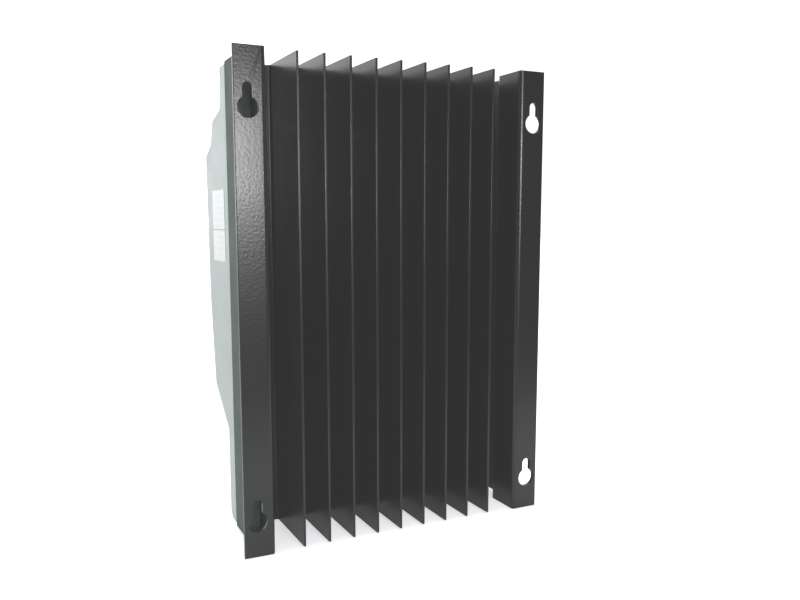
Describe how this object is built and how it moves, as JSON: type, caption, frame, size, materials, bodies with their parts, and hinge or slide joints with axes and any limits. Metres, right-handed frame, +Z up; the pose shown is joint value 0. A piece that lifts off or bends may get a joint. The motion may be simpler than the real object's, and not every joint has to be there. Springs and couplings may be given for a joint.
{
  "type": "charge controller",
  "caption": "Wall-mounted solar charge controller: finned heat sink, two keyhole brackets, stepped front cover with display, push keys and cable entries.",
  "frame": {"origin": "on the wall plane, in the middle of the four keyholes' round entries", "axes": "+X to the right seen from the front, +Z up, -Y towards the front, so the wall is the plane Y = 0"},
  "size_m": [0.205, 0.103, 0.292],
  "materials": {
    "black_coat": "semi-gloss fine-texture black powder coat",
    "grey_coat": "dark green-grey satin coat",
    "cover_plastic": "light grey fine-textured moulding",
    "overlay_plastic": "dark printed polycarbonate sheet, satin",
    "lens": "clear polycarbonate",
    "lcd": "grey-green display glass",
    "black_plastic": "black moulded plastic",
    "key_plastic": "dark grey moulded key",
    "light_guide": "milky clear acrylic",
    "zinc_screw": "zinc plated",
    "black_screw": "black oxide",
    "brass": "plain brass",
    "board": "green solder mask",
    "terminal_green": "green moulded plastic",
    "copper_wire": "enamelled copper",
    "core": "epoxy coated powder core",
    "can": "sleeved aluminium can",
    "grey_pad": "silicone pad",
    "grommet_rubber": "black rubber",
    "ribbon": "flat flexible cable",
    "label": "white self-adhesive paper"
  },
  "bodies": {
    "case": {"heat_sink": "black_coat", "bracket_left": "black_coat", "bracket_right": "black_coat", "side_rail_left": "grey_coat", "side_rail_right": "grey_coat", "cover_screws": "black_screw", "wiring_cover_screws": "black_screw", "bracket_screws": "zinc_screw", "chassis_screws": "zinc_screw", "display_board_screws": "zinc_screw", "board_screws": "zinc_screw", "transistor_screws": "zinc_screw", "terminal_screws": "zinc_screw", "terminal_clamps": "zinc_screw", "earth_screw": "zinc_screw", "earth_washer": "zinc_screw", "current_shunts": "zinc_screw", "front_cover": "cover_plastic", "wiring_cover": "cover_plastic", "front_overlay": "overlay_plastic", "display_window": "lens", "lcd_panel": "lcd", "lcd_frame": "black_plastic", "switch_bodies": "black_plastic", "power_transistors": "black_plastic", "control_chips": "black_plastic", "comm_jack": "black_plastic", "sensor_jack": "black_plastic", "ribbon_connectors": "black_plastic", "light_pipes": "light_guide", "indicator_leds": "light_guide", "board_standoffs": "brass", "display_board": "board", "main_board": "board", "terminal_block": "terminal_green", "inductor_windings": "copper_wire", "inductor_cores": "core", "board_fuses": "core", "bus_capacitors": "can", "thermal_pads": "grey_pad", "cable_grommets": "grommet_rubber", "ribbon_cable": "ribbon", "side_label_upper": "label", "side_label_lower": "label"},
    "menu_key": {"key_menu": "key_plastic", "plunger_menu": "black_plastic"},
    "down_key": {"key_down": "key_plastic", "plunger_down": "black_plastic"},
    "up_key": {"key_up": "key_plastic", "plunger_up": "black_plastic"},
    "enter_key": {"key_enter": "key_plastic", "plunger_enter": "black_plastic"}
  },
  "joints": [
    {"name": "press_menu", "type": "slide", "parent": "case", "child": "menu_key", "axis": [0, 0.9996, 0.0293], "range_m": [0, 0.0008], "stiffness_N_per_m": 2500, "springref_m": -0.0004},
    {"name": "press_down", "type": "slide", "parent": "case", "child": "down_key", "axis": [0, 0.9996, 0.0293], "range_m": [0, 0.0008], "stiffness_N_per_m": 2500, "springref_m": -0.0004},
    {"name": "press_up", "type": "slide", "parent": "case", "child": "up_key", "axis": [0, 0.9996, 0.0293], "range_m": [0, 0.0008], "stiffness_N_per_m": 2500, "springref_m": -0.0004},
    {"name": "press_enter", "type": "slide", "parent": "case", "child": "enter_key", "axis": [0, 0.9996, 0.0293], "range_m": [0, 0.0008], "stiffness_N_per_m": 2500, "springref_m": -0.0004}
  ]
}
